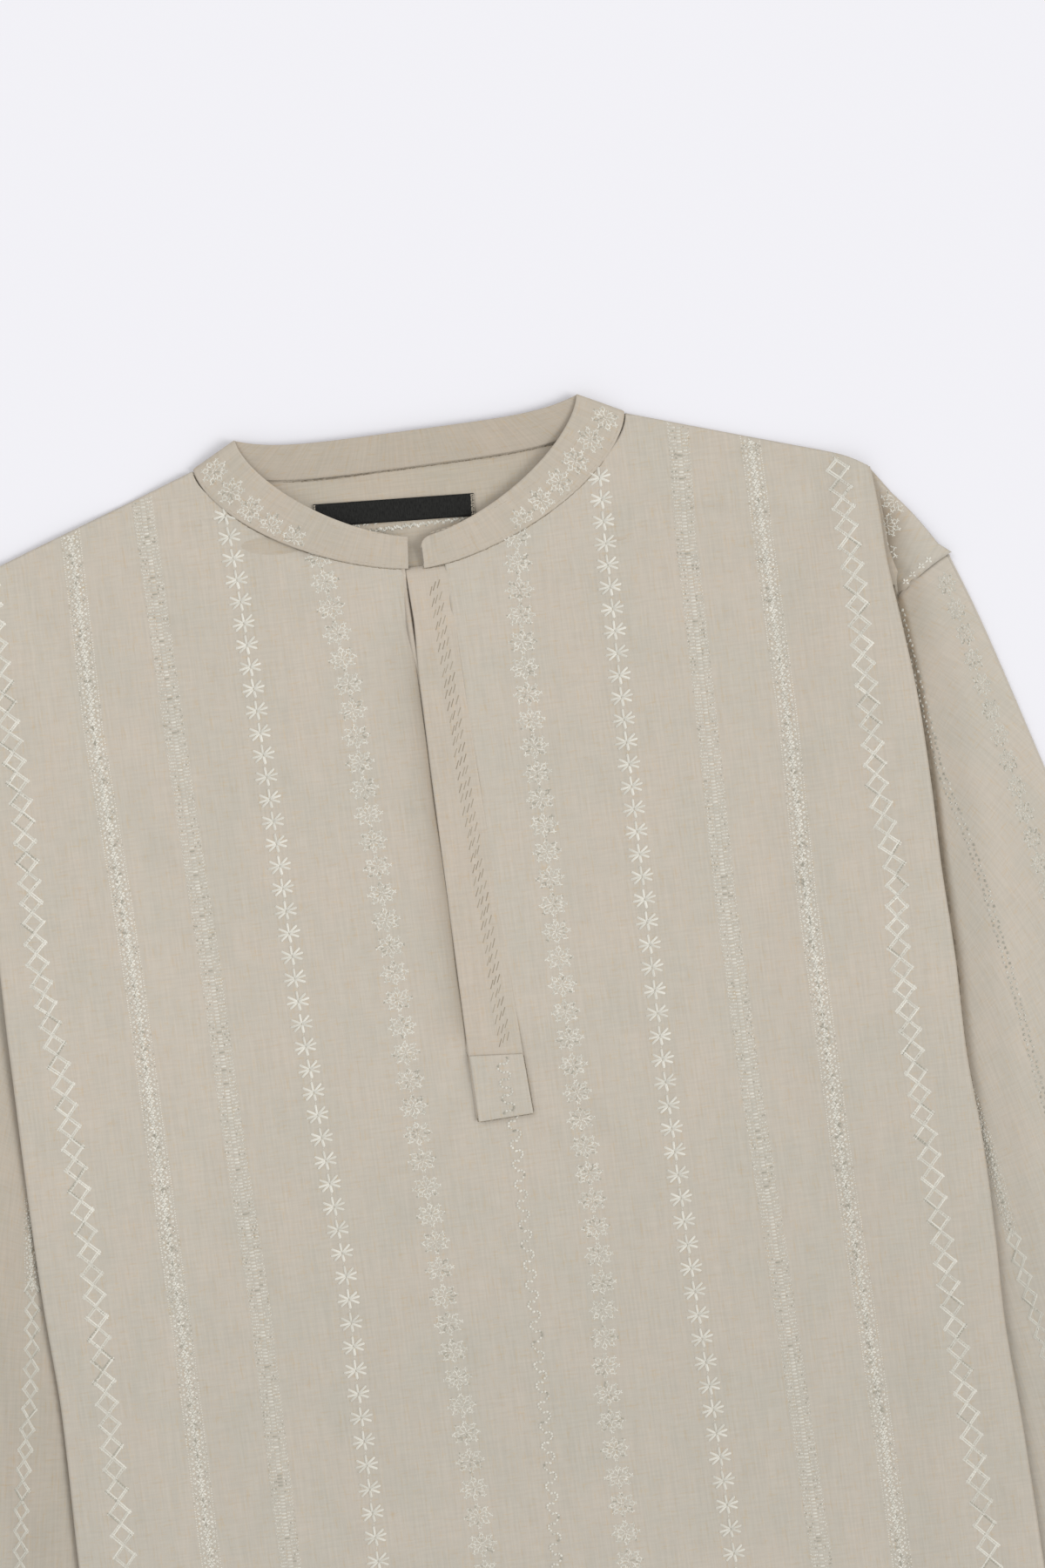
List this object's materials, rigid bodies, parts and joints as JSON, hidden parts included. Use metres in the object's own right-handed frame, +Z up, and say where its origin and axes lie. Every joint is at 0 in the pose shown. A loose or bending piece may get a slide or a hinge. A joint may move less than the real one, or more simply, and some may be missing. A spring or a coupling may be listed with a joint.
{
  "type": "pullover shirt",
  "caption": "Loose long-sleeved pullover shirt with a band collar, a half placket and embroidered stripes, laid out flat with its sides and sleeves folded under.",
  "frame": {"origin": "on the table under the middle of the shirt's bounding box", "axes": "+X towards the wearer's left, +Y towards the collar, +Z up through the layers from the table"},
  "size_m": [0.773, 0.76, 0.0073],
  "materials": {
    "linen": "natural slub linen with pale embroidered stripes",
    "label": "black woven tape"
  },
  "bodies": {
    "root": {"front_panel": "linen", "back_panel": "linen", "back_yoke": "linen", "sleeve_left": "linen", "sleeve_right": "linen", "collar_band": "linen", "placket_under": "linen", "placket_over": "linen", "placket_box": "linen", "neck_label": "label"}
  },
  "joints": []
}
